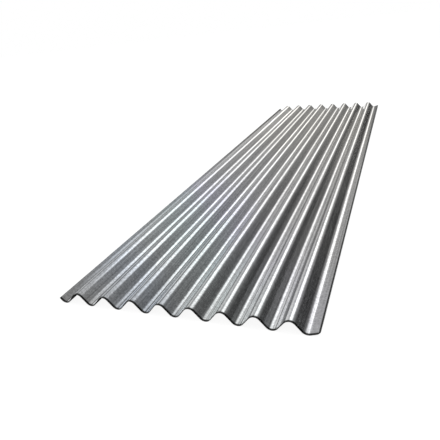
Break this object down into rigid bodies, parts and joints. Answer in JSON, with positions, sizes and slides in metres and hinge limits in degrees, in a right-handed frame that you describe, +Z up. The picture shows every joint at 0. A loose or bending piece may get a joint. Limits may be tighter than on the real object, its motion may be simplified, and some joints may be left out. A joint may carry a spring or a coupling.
{
  "type": "corrugated metal sheet",
  "caption": "Galvanised steel roofing sheet rolled into even round waves, its long edges turned up part of a wave so that sheets lap side by side.",
  "frame": {"origin": "middle of the sheet's footprint, on the level floor that its troughs lie on", "axes": "+X across the waves, +Y along the waves, +Z up out of the floor"},
  "size_m": [0.6526, 2.4, 0.0302],
  "materials": {
    "galvanised_steel": "zinc coated, satin grey with soft rolling lines along the waves"
  },
  "bodies": {
    "root": {"corrugated_sheet": "galvanised_steel"}
  },
  "joints": []
}
